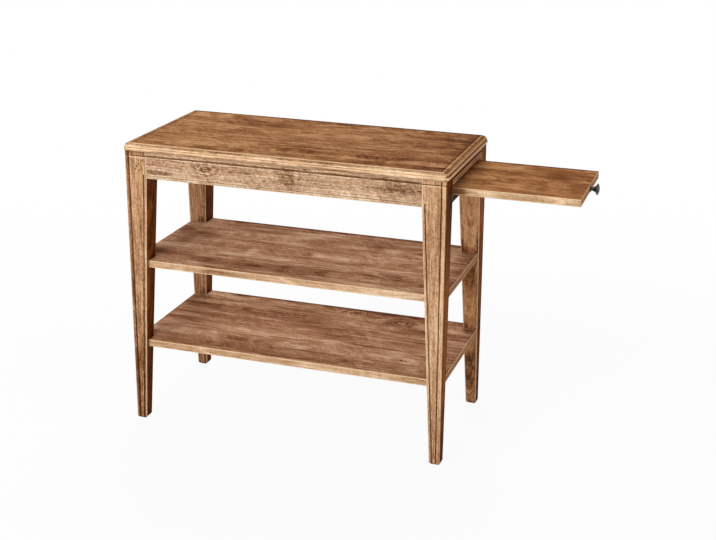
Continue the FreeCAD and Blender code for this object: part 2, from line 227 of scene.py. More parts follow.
# %% Helpers for groups
def new_group(name, inputs, outputs):
    """A node group with named sockets. Returns its tree, its inputs and its output node."""
    tree = bpy.data.node_groups.new(name, "ShaderNodeTree")
    kinds = {"number": "NodeSocketFloat", "vector": "NodeSocketVector", "colour": "NodeSocketColor"}
    for label, (kind, value) in inputs.items():
        socket = tree.interface.new_socket(name=label, in_out="INPUT", socket_type=kinds[kind])
        socket.default_value = value
    for label in outputs:
        kind = "colour" if label == "Color" else "number"
        tree.interface.new_socket(name=label, in_out="OUTPUT", socket_type=kinds[kind])
    start = tree.nodes.new("NodeGroupInput")
    end = tree.nodes.new("NodeGroupOutput")
    return tree, start.outputs, end.inputs


def use_group(tree, group, values):
    """Places a group, feeds its sockets by their names and returns its outputs."""
    node = add(tree, "ShaderNodeGroup", node_tree=group)
    for label, value in values.items():
        feed(tree, node.inputs[label], value)
    return node.outputs


print("helpers for groups are ready")

# %% [markdown]
# ## Knots
#
# A knot is where a branch grew, so the year rings bend round it. It could be drawn ring by ring.
# Lifting the ring count near a point, most at its middle, is simpler: the board's own rings then
# close up into an eye.

# %% The knot group
knot_group, given, result = new_group(
    "knot",
    {
        "Position": ("vector", (0, 0, 0)),
        "Centre": ("vector", (0, 0, 0)),
        "Size": ("number", 8.0),
        "Rings": ("number", 3.0),
    },
    ("Lift", "Core", "Halo", "Ripple"),
)
tree = knot_group
# Distances count less along and through the grain, so a knot comes out long and deep.
knot_squeeze = (0.5, 1.0, 0.3)
ripples = 5.6
offset = vector_calc(tree, "SUBTRACT", given["Position"], given["Centre"])
offset = vector_calc(tree, "MULTIPLY", offset, knot_squeeze)
shake = noise(tree, given["Position"], (0.05, 0.11, 0.05), 1.0)
reach = over(tree, vector_calc(tree, "LENGTH", offset), given["Size"])
reach = times(tree, reach, plus(tree, shake, 0.5))
fall = calc(tree, "EXPONENT", times(tree, calc(tree, "POWER", reach, 2.0), -0.35))
feed(tree, result["Lift"], times(tree, fall, given["Rings"]))
feed(tree, result["Core"], step_between(tree, reach, 0.6, 0.2))
feed(tree, result["Halo"], step_between(tree, reach, 3.0, 0.6))
ripple = calc(tree, "SINE", times(tree, reach, ripples))
feed(tree, result["Ripple"], times(tree, ripple, step_between(tree, reach, 3.2, 0.8)))
print("knot group has", len(tree.nodes), "nodes")

# %% [markdown]
# ## Clouds
#
# A board also has places that are simply darker or lighter: a stain that soaked in, a pale sapwood
# streak, a scorched line. Painting them by hand would need a picture. Here each is a soft cloud
# with a middle, a reach along, across and through the grain, and an amount. Noise frays its
# outline, so that no cloud shows as an oval.

# %% The cloud group
cloud_group, given, result = new_group(
    "cloud",
    {
        "Position": ("vector", (0, 0, 0)),
        "Centre": ("vector", (0, 0, 0)),
        "Reach": ("vector", (50, 10, 10)),
        "Amount": ("number", -0.3),
    },
    ("Shade",),
)
tree = cloud_group
fray_size = 1.6
offset = vector_calc(tree, "SUBTRACT", given["Position"], given["Centre"])
offset = vector_calc(tree, "LENGTH", vector_calc(tree, "DIVIDE", offset, given["Reach"]))
fray = noise(tree, given["Position"], (0.02, 0.09, 0.09), 3.0, 0.6)
offset = plus(tree, offset, swing(tree, fray, fray_size))
cloud = step_between(tree, offset, 1.3, 0.3)
feed(tree, result["Shade"], times(tree, cloud, given["Amount"]))
print("cloud group has", len(tree.nodes), "nodes")

# %% [markdown]
# ## Timber
#
# A board is glued up from staves, each sawn from its own place in a log. One grain over the whole
# board would be simpler, but a real one changes at every joint. So each stave draws three chance
# values, which say where in the log it was, and a dark line marks the joint between two staves.

# %% The timber group and its staves
timber_masks = ("Tone", "Streak", "Fibre", "Late wood", "Pore", "Mottle", "Figure", "Vein", "Joint")
timber_group, given, result = new_group(
    "timber",
    {
        "Position": ("vector", (0, 0, 0)),
        "Seed": ("number", 0.0),
        "Stave width": ("number", 90.0),
        "Streak width": ("number", 7.0),
        "Streak length": ("number", 1.0),
        "Lift": ("number", 0.0),
    },
    timber_masks,
)
tree = timber_group
along, across, through = split(tree, given["Position"])
seed_shift = times(tree, given["Seed"], 0.37)
stave_count = plus(tree, over(tree, across, given["Stave width"]), seed_shift)
stave = calc(tree, "FLOOR", stave_count)
in_stave = minus(tree, minus(tree, stave_count, stave), 0.5)
chance_a, chance_b, chance_c = split(tree, white_noise(tree, stave, given["Seed"])["Color"])
to_edge = minus(tree, 0.5, calc(tree, "ABSOLUTE", in_stave))
to_edge = times(tree, to_edge, given["Stave width"])
joint_end_mm, joint_core_mm = 0.55, 0.15
feed(tree, result["Joint"], step_between(tree, to_edge, joint_end_mm, joint_core_mm))
print("with its staves the timber group has", len(tree.nodes), "nodes")

# %% [markdown]
# The distance from the log's heart, bent by slow noise, gives the year rings. Blender has a wave
# texture that draws rings too, but it knows nothing of staves and knots. Late wood is the dark
# part of a ring, and some rings have more of it than others.

# %% Year rings
log_length_mm = 1700.0
ring_width_mm, waviness_mm = 6.0, 9.0
heart_depth_least_mm, heart_depth_range_mm = 14.0, 45.0
log_along = plus(tree, along, times(tree, plus(tree, chance_a, given["Seed"]), log_length_mm))
log_place = join(tree, log_along, across, through)
from_heart = plus(tree, in_stave, minus(tree, chance_b, 0.5))
from_heart = times(tree, from_heart, given["Stave width"])
heart_depth = plus(tree, times(tree, chance_c, heart_depth_range_mm), heart_depth_least_mm)
heart_depth = plus(tree, through, heart_depth)
bend = noise(tree, log_place, (0.0042, 0.013, 0.013), 2.0)
small_bend = noise(tree, log_place, (0.022, 0.05, 0.05), 1.0)
bend = plus(tree, minus(tree, bend, 0.5), swing(tree, small_bend, 0.16))
bend = times(tree, bend, 2.0, waviness_mm)
heart = plus(tree, times(tree, from_heart, from_heart), times(tree, heart_depth, heart_depth))
heart = plus(tree, calc(tree, "SQRT", heart), bend)
rings = plus(tree, over(tree, heart, ring_width_mm), given["Lift"])
ring = calc(tree, "FLOOR", rings)
in_ring = minus(tree, rings, ring)
ring_chance = white_noise(tree, ring, plus(tree, chance_a, given["Seed"]))["Value"]
late = times(tree, step_between(tree, in_ring, 0.25, 0.85), step_between(tree, in_ring, 1.0, 0.9))
late = times(tree, late, plus(tree, times(tree, ring_chance, 0.7), 0.3))
feed(tree, result["Late wood"], late)
print("with its rings the timber group has", len(tree.nodes), "nodes")

# %% [markdown]
# The streaks of the grain, its fibres and its thin dark and pale veins are noise stretched along
# the board. Across the board they follow the rings, so they flow round the knots.

# %% Streaks, fibres and veins
in_streaks = over(tree, times(tree, rings, ring_width_mm), given["Streak width"])
streak_along = over(tree, log_along, given["Streak length"])
grain_place = join(tree, streak_along, in_streaks, times(tree, chance_b, 90.0))
feed(tree, result["Streak"], noise(tree, grain_place, (0.007, 1.1, 1.0), 4.0, 0.66))
fibre_place = join(tree, log_along, in_streaks, through)
feed(tree, result["Fibre"], noise(tree, fibre_place, (0.03, 3.4, 0.2), 3.0, 0.65))
tone = noise(tree, log_place, (0.006, 0.016, 0.016), 2.0)
feed(tree, result["Tone"], plus(tree, tone, swing(tree, chance_c, 0.22)))

vein_noise = noise(tree, grain_place, (0.006, 0.75, 1.0), 2.0, 0.45)
from_dark_vein = calc(tree, "ABSOLUTE", minus(tree, vein_noise, 0.47))
from_pale_vein = calc(tree, "ABSOLUTE", minus(tree, vein_noise, 0.56))
dark_vein = step_between(tree, from_dark_vein, 0.022, 0.004)
pale_vein = step_between(tree, from_pale_vein, 0.022, 0.004)
feed(tree, result["Vein"], minus(tree, pale_vein, dark_vein))
print("with its streaks the timber group has", len(tree.nodes), "nodes")

# %% [markdown]
# Pores are short dashes, and mottle is the blotchy way that wood takes a stain. The figure is the
# cross shimmer of curly wood. It slants a little and shows only in some places.

# %% Pores, mottle and figure
pores = noise(tree, given["Position"], (0.07, 0.5, 0.5), 1.0)
feed(tree, result["Pore"], step_between(tree, pores, 0.66, 0.78))
feed(tree, result["Mottle"], noise(tree, given["Position"], (0.22, 0.36, 0.36), 3.0, 0.68))
slant = plus(tree, along, times(tree, across, 0.7))
curl = noise(tree, join(tree, slant, across, through), (0.085, 0.018, 0.018), 2.0)
curly = noise(tree, log_place, (0.008, 0.012, 0.012), 0.0)
figure = times(tree, minus(tree, curl, 0.5), step_between(tree, curly, 0.42, 0.62))
feed(tree, result["Figure"], figure)
print("timber group has", len(tree.nodes), "nodes")

# %% [markdown]
# ## Edges and hollows
#
# Stain rubs off the sharp edges of a table, and its grooves darken with dirt and painted shade.
# Blender can guess both from the mesh, but then the look changes with the mesh. Here they are sums
# on how far a point is from the faces of a piece. On a face the nearest distance is nothing, inside
# a groove it isn't, and at an edge the second nearest is small as well.

# %% The board faces group
face_masks = ("Edge", "Hollow", "Side", "End")
faces_group, given, result = new_group(
    "board faces",
    {
        "Position": ("vector", (0, 0, 0)),
        "Half size": ("vector", (100, 100, 10)),
        "Wear width": ("number", 2.0),
        "Back wear": ("number", 1.0),
    },
    face_masks,
)


def worn_edge(tree, distance, width, ragged):
    """Strongest at an edge, falling over a width that noise makes uneven."""
    strength = 0.82
    worn = over(tree, distance, times(tree, width, plus(tree, ragged, 0.5)))
    return times(tree, step_between(tree, worn, 1.2, 0.3), strength)


face_start_mm, groove_mm = 0.6, 1.5
turn_mm = 0.6
tree = faces_group
inwards = vector_calc(tree, "ABSOLUTE", given["Position"])
inwards = vector_calc(tree, "SUBTRACT", given["Half size"], inwards)
gap_along, gap_across, gap_through = split(tree, inwards)
side_gap = least(tree, gap_along, gap_across)
nearest = least(tree, side_gap, gap_through)
second = most(tree, side_gap, least(tree, most(tree, gap_along, gap_across), gap_through))
ragged = noise(tree, given["Position"], (0.06, 0.2, 0.2), 2.0)
worn = worn_edge(tree, second, given["Wear width"], ragged)
_, side_place, _ = split(tree, vector_calc(tree, "DIVIDE", given["Position"], given["Half size"]))
at_back = step_between(tree, side_place, 0.9, 0.94)
unworn = times(tree, at_back, minus(tree, 1.0, given["Back wear"]))
feed(tree, result["Edge"], times(tree, worn, minus(tree, 1.0, unworn)))
feed(tree, result["Hollow"], step_between(tree, nearest, face_start_mm, groove_mm))
side_lead = minus(tree, gap_through, side_gap)
feed(tree, result["Side"], step_between(tree, side_lead, -turn_mm, turn_mm))
end_lead = minus(tree, least(tree, gap_across, gap_through), gap_along)
feed(tree, result["End"], step_between(tree, end_lead, -turn_mm, turn_mm))
print("board faces group has", len(tree.nodes), "nodes")

# %% [markdown]
# The legs taper, so they need the same masks from their own shape. One sum does for all four,
# because it measures inwards from the frame's outside, from where every leg looks the same. The
# sockets' own values are the legs' sizes.

# %% The leg faces group
leg_group, given, result = new_group(
    "leg faces",
    {
        "Position": ("vector", (0, 0, 0)),
        "Outside": ("vector", (338, 160, 0)),
        "Width": ("number", 48.0),
        "Foot width": ("number", 23.0),
        "Taper height": ("number", 539.0),
        "Corner radius": ("number", 4.0),
        "Wear width": ("number", 2.0),
    },
    face_masks,
)
tree = leg_group
inwards = vector_calc(tree, "ABSOLUTE", given["Position"])
out_x, out_y, _ = split(tree, vector_calc(tree, "SUBTRACT", given["Outside"], inwards))
_, _, rise = split(tree, given["Position"])
share = least(tree, over(tree, rise, given["Taper height"]), 1.0)
grown = times(tree, minus(tree, given["Width"], given["Foot width"]), share)
width = plus(tree, given["Foot width"], grown)
print("a place on a leg has taken", len(tree.nodes), "nodes")

# %% The legs' masks
leg_groove_mm = 1.7
foot_top_mm, foot_mm = 0.8, 0.2
in_x, in_y = minus(tree, width, out_x), minus(tree, width, out_y)
round_x = most(tree, minus(tree, given["Corner radius"], out_x), 0.0)
round_y = most(tree, minus(tree, given["Corner radius"], out_y), 0.0)
rounding = vector_calc(tree, "LENGTH", join(tree, round_x, round_y, 0.0))
outer_gap = minus(tree, given["Corner radius"], rounding)
inner_gap = least(tree, in_x, in_y)
near_x, near_y = least(tree, out_x, in_x), least(tree, out_y, in_y)
ragged = noise(tree, given["Position"], (0.2, 0.2, 0.06), 2.0)
worn = worn_edge(tree, most(tree, near_x, near_y), given["Wear width"], ragged)
feed(tree, result["Edge"], worn)
nearest = least(tree, outer_gap, inner_gap)
feed(tree, result["Hollow"], step_between(tree, nearest, face_start_mm, leg_groove_mm))
feed(tree, result["Side"], step_between(tree, minus(tree, near_y, near_x), -turn_mm, turn_mm))
feed(tree, result["End"], step_between(tree, rise, foot_top_mm, foot_mm))
print("leg faces group has", len(tree.nodes), "nodes")

# %% [markdown]
# The top's moulding is a profile that runs round a rectangle with rounded corners. A point's inset
# from that outline and its height above the underside say where it is on the profile, and so how
# near it is to an arris, where the stain wears off and highlights are painted, or to a quirk, where
# dirt and painted shade darken it.

# %% The moulding group, and where a point is on the profile
moulding_group, given, result = new_group(
    "moulding",
    {
        "Position": ("vector", (0, 0, 0)),
        "Half size": ("vector", (342, 164, 8)),
        "Corner radius": ("number", 14.0),
    },
    face_masks,
)
tree = moulding_group
place_x, place_y, level = split(tree, given["Position"])
reach_x, reach_y, _ = split(tree, vector_calc(tree, "ABSOLUTE", given["Position"]))
half_x, half_y, half_z = split(tree, given["Half size"])
past_x = plus(tree, minus(tree, reach_x, half_x), given["Corner radius"])
past_y = plus(tree, minus(tree, reach_y, half_y), given["Corner radius"])
past = join(tree, most(tree, past_x, 0.0), most(tree, past_y, 0.0), 0.0)
past = vector_calc(tree, "LENGTH", past)
past = plus(tree, past, least(tree, most(tree, past_x, past_y), 0.0))
inset = minus(tree, given["Corner radius"], past)
profile = join(tree, inset, plus(tree, level, half_z), 0.0)
ragged_mm = 2.4
ragged = swing(tree, noise(tree, given["Position"], (0.05, 0.05, 0.2), 2.0), ragged_mm)
print("a point on the profile has taken", len(tree.nodes), "nodes")

# %% Lines along the moulding
def lines_along(*lines):
    """Soft uneven lines round the top. Each has its inset, height, width (mm) and strength."""
    core_share = 0.25
    masks = []
    for inset_mm, height_mm, width_mm, strength in lines:
        gap = vector_calc(tree, "DISTANCE", profile, (inset_mm, height_mm, 0.0))
        mask = step_between(tree, plus(tree, gap, ragged), width_mm, width_mm * core_share)
        masks.append(times(tree, mask, strength))
    return most(tree, *masks)


mitre_mm = 2.0
end_share = minus(tree, minus(tree, half_y, reach_y), minus(tree, half_x, reach_x))
end_share = step_between(tree, end_share, -mitre_mm, mitre_mm)
front_share = minus(tree, 1.0, end_share)


def by_side(front, end):
    """One mask for the long sides of the top and another for its ends."""
    return plus(tree, times(tree, front, front_share), times(tree, end, end_share))


# Light lines on the arrises: wear, and painted highlights where the profile catches the light.
front_wear_and_highlights = lines_along((10.4, 16.0, 4.0, 1.0), (3.3, 9.8, 2.6, 1.0), (1.8, 6.0, 2.8, 1.0))
end_wear_and_highlights = lines_along((13.2, 16.0, 2.4, 0.85), (3.3, 12.0, 2.1, 0.6), (0.8, 4.2, 3.2, 1.0),
                       (1.2, 2.0, 3.4, 1.0))
# Dark lines in the quirks and under the beads hold dirt and painted shade, and one more darkens the
# top's back edge.
front_dirt_and_shade = lines_along((7.0, 13.4, 2.0, 0.65), (2.8, 1.0, 2.6, 0.8))
end_dirt_and_shade = lines_along((18.6, 16.0, 2.8, 0.75), (7.0, 13.6, 1.8, 0.7), (3.2, 8.5, 2.3, 1.0))
back_dark_line = lines_along((10.0, 16.0, 9.0, 0.9))
print("with its lines the moulding group has", len(tree.nodes), "nodes")

# %% The moulding's masks
right_end_mm, front_mm, back_mm = (322.0, 332.0), (-142.0, -152.0), (132.0, 142.0)
at_end = step_between(tree, place_x, *right_end_mm)
at_front = step_between(tree, place_y, *front_mm)
at_back = step_between(tree, place_y, *back_mm)
# Hands wear the right end most, then the front, and the painted highlights follow the same weights.
handled = most(tree, at_end, times(tree, at_front, 0.85))
handled = plus(tree, times(tree, handled, 0.8), 0.2)
feed(tree, result["Edge"], times(tree, by_side(front_wear_and_highlights, end_wear_and_highlights), handled))
back_dark_line = times(tree, back_dark_line, at_back, front_share)
feed(tree, result["Hollow"], most(tree, by_side(front_dirt_and_shade, end_dirt_and_shade), back_dark_line))
flat_inset_mm, moulding_inset_mm = 9.6, 9.0
on_moulding = step_between(tree, inset, flat_inset_mm, moulding_inset_mm)
feed(tree, result["Side"], on_moulding)
feed(tree, result["End"], times(tree, end_share, 0.9, on_moulding))
print("moulding group has", len(tree.nodes), "nodes")

# %% [markdown]
# ## Stain
#
# The stain makes one number out of the timber's masks and looks up a colour for it, from dark
# through middle to light. Mixing a colour for each mask would be muddier. Pores and late wood take
# more stain, edges less, and grooves darken with dirt and painted shade.

# %% The stain group and how pale each point is
stain_colours = ("Dark", "Middle", "Light", "Worn and highlight", "Dirt and shade", "Sawn")
stain_masks = (*timber_masks, "Core", "Halo", "Shade", "Edge", "Hollow", "End")
stain_amounts = ("Contrast", "Speckle", "Curl")
# Each socket is fed when the group is placed, whatever it starts with.
stain_group, given, result = new_group(
    "stain",
    {
        **{label: ("number", 0.0) for label in (*stain_masks, *stain_amounts)},
        **{label: ("colour", (0.3, 0.14, 0.06, 1.0)) for label in stain_colours},
    },
    ("Color", "Roughness", "Height"),
)
tree = stain_group


def swing_of(mask, size):
    return swing(tree, given[mask], size)


depth = plus(tree, swing_of("Tone", 1.2), swing_of("Streak", 2.0), swing_of("Fibre", 1.5),
             times(tree, given["Figure"], given["Curl"]), times(tree, given["Vein"], 0.26))
depth = times(tree, depth, given["Contrast"])
depth = plus(tree, depth, times(tree, swing_of("Mottle", 2.2), given["Speckle"]))
ring_depth = plus(tree, times(tree, given["Halo"], 0.5), 0.22)
depth = minus(tree, depth, times(tree, given["Late wood"], ring_depth))
depth = minus(tree, depth, times(tree, given["Halo"], 0.15))
depth = plus(tree, depth, given["Shade"], 0.55)
print("the paleness has taken", len(tree.nodes), "nodes")

# %% The stain's colour
to_middle = step_between(tree, depth, -0.25, 0.5, "LINEAR")
to_light = step_between(tree, depth, 0.5, 1.25, "LINEAR")
colour = mix(tree, to_middle, given["Dark"], given["Middle"])
colour = mix(tree, to_light, colour, given["Light"])
# Edges take the worn colour, which also serves as painted highlight.
layers = {
    "Pore": (0.5, "Dark"),
    "Joint": (0.5, "Dark"),
    "Core": (0.55, "Dirt and shade"),
    "End": (0.8, "Sawn"),
    "Edge": (0.85, "Worn and highlight"),
}
for mask, (strength, label) in layers.items():
    colour = mix(tree, times(tree, given[mask], strength), colour, given[label])
# Hollows take the dark colour as dirt and painted shade, less of it where a cloud lightens the
# wood.
hollow_dirt_and_shade = minus(tree, 0.85, times(tree, given["Shade"], 0.5))
hollow_dirt_and_shade = least(tree, times(tree, given["Hollow"], hollow_dirt_and_shade), 1.0)
feed(tree, result["Color"], mix(tree, hollow_dirt_and_shade, colour, given["Dirt and shade"]))
print("the colour has", len(layers) + 1, "layers over the bare stain")

# %% The stain's roughness and height
rough = plus(tree, 0.62, times(tree, given["Pore"], 0.2), swing_of("Mottle", 0.25),
             times(tree, given["Hollow"], 0.2))
feed(tree, result["Roughness"], rough)
height = times(tree, given["Pore"], -1.0)
height = minus(tree, height, times(tree, given["Late wood"], 0.3))
height = minus(tree, height, given["Joint"])
height = plus(tree, height, swing_of("Fibre", 1.2))
feed(tree, result["Height"], minus(tree, height, times(tree, given["Core"], 0.6)))
print("stain group has", len(tree.nodes), "nodes")

# %% [markdown]
# ## A wooden finish
#
# Each wooden piece gets its own material from the same groups. One material for all would make
# every board show the same grain. What differs is the way the grain runs, the widths of staves and
# streaks, the knots and clouds, and the colours.

# %% Places on a piece
grain_orders = {
    "X": (0, 1, 2),
    "Y": (1, 0, 2),
    "Z": (2, 0, 1),
    "X upright": (0, 2, 1),
    "Y upright": (1, 2, 0),
}
mm_in_a_metre = 1000.0


def place_from(tree, middle):
    """Each point's place in millimetres from a given point."""
    place = add(tree, "ShaderNodeTexCoord").outputs["Object"]
    place = vector_calc(tree, "SUBTRACT", place, middle)
    return vector_calc(tree, "MULTIPLY", place, (mm_in_a_metre,) * 3)


def along_grain(tree, place, grain):
    """Puts a place's axes in the order along, across and through the grain."""
    axes = split(tree, place)
    return join(tree, *(axes[index] for index in grain_orders[grain]))


print("grain can run in", len(grain_orders), "ways")

# %% Knots and clouds on a piece
def knots_and_clouds(tree, place, knots, clouds):
    """Adds up what the knots and the clouds do at a place. Sizes are in millimetres."""
    lift, core, halo, shade = 0.0, 0.0, 0.0, 0.0
    for centre, size, rings in knots:
        values = {"Position": place, "Centre": centre, "Size": size, "Rings": rings}
        knot = use_group(tree, knot_group, values)
        lift = plus(tree, lift, knot["Lift"])
        core = most(tree, core, knot["Core"])
        halo = most(tree, halo, knot["Halo"])
        shade = plus(tree, shade, times(tree, knot["Ripple"], 0.3))
    for centre, reach, amount in clouds:
        values = {"Position": place, "Centre": centre, "Reach": reach, "Amount": amount}
        shade = plus(tree, shade, use_group(tree, cloud_group, values)["Shade"])
    return lift, core, halo, shade


print("knots and clouds ready")

# %% The shader of a stained wood
gloss = 0.02
grain_strength, grain_depth = 0.35, 0.0005


def feed_shader(tree, stain):
    """Feeds the stain's colour, roughness and height to the material's shader."""
    bump = add(tree, "ShaderNodeBump")
    bump.inputs["Strength"].default_value = grain_strength
    bump.inputs["Distance"].default_value = grain_depth
    feed(tree, bump.inputs["Height"], stain["Height"])
    shader = tree.nodes["Principled BSDF"]
    feed(tree, shader.inputs["Base Color"], stain["Color"])
    feed(tree, shader.inputs["Roughness"], stain["Roughness"])
    feed(tree, shader.inputs["Normal"], bump.outputs["Normal"])
    shader.inputs["Specular IOR Level"].default_value = gloss


print("the grain stands", grain_depth * mm_in_a_metre, "mm deep at full strength")

# %% The material of a wooden piece
def wood_material(name, grain, box, seed, colours, knots=(), clouds=(), stave=90.0, streak=7.0,
                  streak_length=1.0, contrast=1.0, speckle=0.5, curl=0.8, wear=2.0,
                  back_wear=1.0, side_colours=None, faces="board"):
    """A stained wood for one piece. Knots and clouds are placed in millimetres from its middle."""
    material = bpy.data.materials.new(name)
    material.use_nodes = True
    tree = material.node_tree
    low, high = box
    half = (high - low) * mm_in_a_metre / 2
    from_middle = place_from(tree, (low + high) / 2)
    place = along_grain(tree, from_middle, grain)
    lift, core, halo, shade = knots_and_clouds(tree, place, knots, clouds)
    timber = use_group(tree, timber_group, {
        "Position": place, "Seed": seed, "Stave width": stave, "Streak width": streak,
        "Streak length": streak_length, "Lift": lift})
    if faces == "leg":
        from_floor = place_from(tree, (frame_middle.x, frame_middle.y, 0.0))
        masks = use_group(tree, leg_group, {"Position": from_floor, "Wear width": wear})
    elif faces == "moulding":
        masks = use_group(tree, moulding_group, {"Position": from_middle, "Half size": half})
    else:
        half_by_grain = [half[index] for index in grain_orders[grain]]
        masks = use_group(tree, faces_group, {
            "Position": place, "Half size": half_by_grain, "Wear width": wear,
            "Back wear": back_wear})

    looks = {mask: timber[mask] for mask in timber_masks}
    looks.update(Core=core, Halo=halo, Shade=shade, Edge=masks["Edge"], Hollow=masks["Hollow"],
                 End=masks["End"], Contrast=contrast, Speckle=speckle, Curl=curl, **colours)
    if side_colours:
        for label in stain_colours:
            looks[label] = mix(tree, masks["Side"], colours[label], side_colours[label])
    feed_shader(tree, use_group(tree, stain_group, looks))
    return material


print("wood material ready")

# %% Finish a piece
def finish_piece(name, material):
    """Puts a material on a CAD piece."""
    slots = nodes[name].material_slots
    if not slots:
        nodes[name].data.materials.append(material)
    for slot in slots:
        slot.material = material
    print(name, "wears", material.name)


print(len(nodes), "pieces wait for a finish")

# %% [markdown]
# ## Colours
#
# Every wood has six colours: three for the stain from dark to light, and one each for worn edges
# and painted highlights, for dirt and painted shade, and for sawn ends. They were read off the
# photograph, as a screen shows them. Blender mixes light in linear values, so a function turns one
# kind into the other. The colours could be chosen on Blender's colour wheel instead, but as numbers
# they can be set beside the photograph's.

# %% Colours as a screen shows them
def srgb(red, green, blue):
    """A colour as a screen shows it, from 0 to 255, in the linear values that Blender mixes."""
    shares = [value / 255 for value in (red, green, blue)]
    linear = [((share + 0.055) / 1.055) ** 2.4 if share > 0.04 else share / 12.92
              for share in shares]
    return (*linear, 1.0)


warm_stain = {
    "Dark": srgb(82, 41, 17),
    "Middle": srgb(147, 95, 55),
    "Light": srgb(200, 150, 104),
    "Worn and highlight": srgb(214, 168, 124),
    "Dirt and shade": srgb(84, 44, 22),
    "Sawn": srgb(132, 82, 46),
}
leaf_stain = {**warm_stain, "Middle": srgb(146, 91, 49), "Light": srgb(200, 146, 97)}
shelf_stain = {
    "Dark": srgb(102, 56, 27),
    "Middle": srgb(175, 128, 95),
    "Light": srgb(229, 193, 160),
    "Worn and highlight": srgb(220, 182, 142),
    "Dirt and shade": srgb(86, 46, 24),
    "Sawn": srgb(140, 90, 54),
}
pale_stain = {
    "Dark": srgb(104, 66, 40),
    "Middle": srgb(190, 153, 121),
    "Light": srgb(238, 212, 178),
    "Worn and highlight": srgb(244, 214, 176),
    "Dirt and shade": srgb(90, 50, 26),
    "Sawn": srgb(140, 92, 56),
}
print("the top's middle colour is", [round(value, 3) for value in warm_stain["Middle"]])

# %% Colours of the legs, the edges and the hidden wood
leg_stain = {
    "Dark": srgb(98, 58, 30),
    "Middle": srgb(173, 128, 92),
    "Light": srgb(225, 188, 148),
    "Worn and highlight": srgb(248, 216, 178),
    "Dirt and shade": srgb(90, 48, 24),
    "Sawn": srgb(110, 68, 38),
}
red_leg_stain = {**leg_stain, "Middle": srgb(179, 126, 83), "Light": srgb(231, 184, 135)}
edge_stain = {
    "Dark": srgb(136, 94, 60),
    "Middle": srgb(192, 155, 119),
    "Light": srgb(236, 206, 170),
    "Worn and highlight": srgb(254, 216, 172),
    "Dirt and shade": srgb(96, 54, 28),
    "Sawn": srgb(158, 100, 56),
}
top_edge_stain = {**edge_stain, "Dirt and shade": srgb(74, 35, 12), "Sawn": srgb(176, 112, 56)}
leaf_edge_stain = {**edge_stain, "Dirt and shade": srgb(74, 36, 14), "Sawn": srgb(160, 106, 60)}
end_stain = {
    **leaf_edge_stain,
    "Dark": srgb(84, 38, 10),
    "Middle": srgb(182, 124, 74),
    "Light": srgb(234, 190, 144),
}
# Darker colours that paint the shade on the faces towards the ends.
shaded_side_stain = {
    "Dark": srgb(58, 25, 6),
    "Middle": srgb(110, 56, 17),
    "Light": srgb(158, 98, 49),
    "Worn and highlight": srgb(196, 146, 100),
    "Dirt and shade": srgb(60, 30, 14),
    "Sawn": srgb(110, 64, 32),
}
raw_wood = {
    "Dark": srgb(128, 92, 60),
    "Middle": srgb(188, 152, 112),
    "Light": srgb(226, 200, 164),
    "Worn and highlight": srgb(216, 188, 150),
    "Dirt and shade": srgb(110, 78, 50),
    "Sawn": srgb(160, 122, 84),
}
print("the legs' middle colour is", [round(value, 3) for value in leg_stain["Middle"]])

# %% [markdown]
# ## The top, the shelves and the leaf
#
# These four boards take most of the eye. Random knots and stains would be quicker, but here they
# stand where the photograph shows them, so that each board can be recognised. A knot is a place, a
# size and a number of rings. A cloud is a place, its reach three ways and an amount. The moulded
# edge of the top and the front edges of the shelves are paler than their faces, so they take
# colours of their own.

# %% Finish the top
top_knots = [((170, -100, 8), 8.0, 3.0)]
top_clouds = [
    ((70, -94, 8), (150, 16, 20), -0.38),
    ((8, -121, 8), (46, 11, 20), 0.28),
    ((-240, -20, 8), (150, 160, 20), 0.20),
    ((-246, 136, 8), (26, 18, 20), 0.30),
    ((-271, 27, 8), (34, 7, 20), 0.35),
    ((-150, 30, 8), (60, 16, 20), -0.16),
    ((252, 100, 8), (60, 12, 20), -0.24),
    ((296, 0, 8), (34, 220, 20), -0.24),
    ((320, 70, 8), (16, 150, 20), -0.45),
    ((0, 158, 8), (700, 46, 20), -0.2),
    ((-230, -130, 8), (90, 34, 20), 0.2),
    # A painted highlight on the front edge near the right corner.
    ((310, -164, 0), (100, 10, 14), 0.55),
    ((-310, -164, 0), (80, 10, 14), -0.12),
    ((200, -163, -2), (6, 12, 1.5), -1.2),
    ((110, -163, -6), (16, 12, 2), -0.5),
]
finish_piece("top_panel", wood_material(
    "top_wood", "X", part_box("top_panel"), 1.0, warm_stain, top_knots, top_clouds, streak=9.0,
    contrast=1.25, speckle=1.0, side_colours=top_edge_stain, faces="moulding"))

# %% Finish the upper shelf
upper_knots = [((207, -81, 7), 8.0, 3.0)]
upper_clouds = [
    ((-307, -87, 7), (34, 24, 20), -0.35),
    ((-119, -28, 7), (12, 26, 20), 0.40),
    ((-44, 112, 7), (60, 18, 20), 0.28),
    ((-271, 32, 7), (50, 40, 20), -0.18),
    ((137, -11, 7), (60, 30, 20), 0.18),
    ((-117, -100, 7), (150, 24, 20), -0.22),
    ((180, -132, 7), (150, 26, 20), 0.2),
    ((190, 0, 7), (150, 130, 20), 0.14),
    # Painted shade along the back edge.
    ((0, 163, 7), (700, 18, 20), -1.2),
    ((0, 160, 7), (700, 46, 20), -0.22),
]
finish_piece("upper_shelf", wood_material(
    "upper_shelf_wood", "X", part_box("upper_shelf"), 2.0, shelf_stain, upper_knots, upper_clouds,
    streak=14.0, streak_length=2.0, speckle=0.6, back_wear=0.0,
    side_colours=edge_stain))

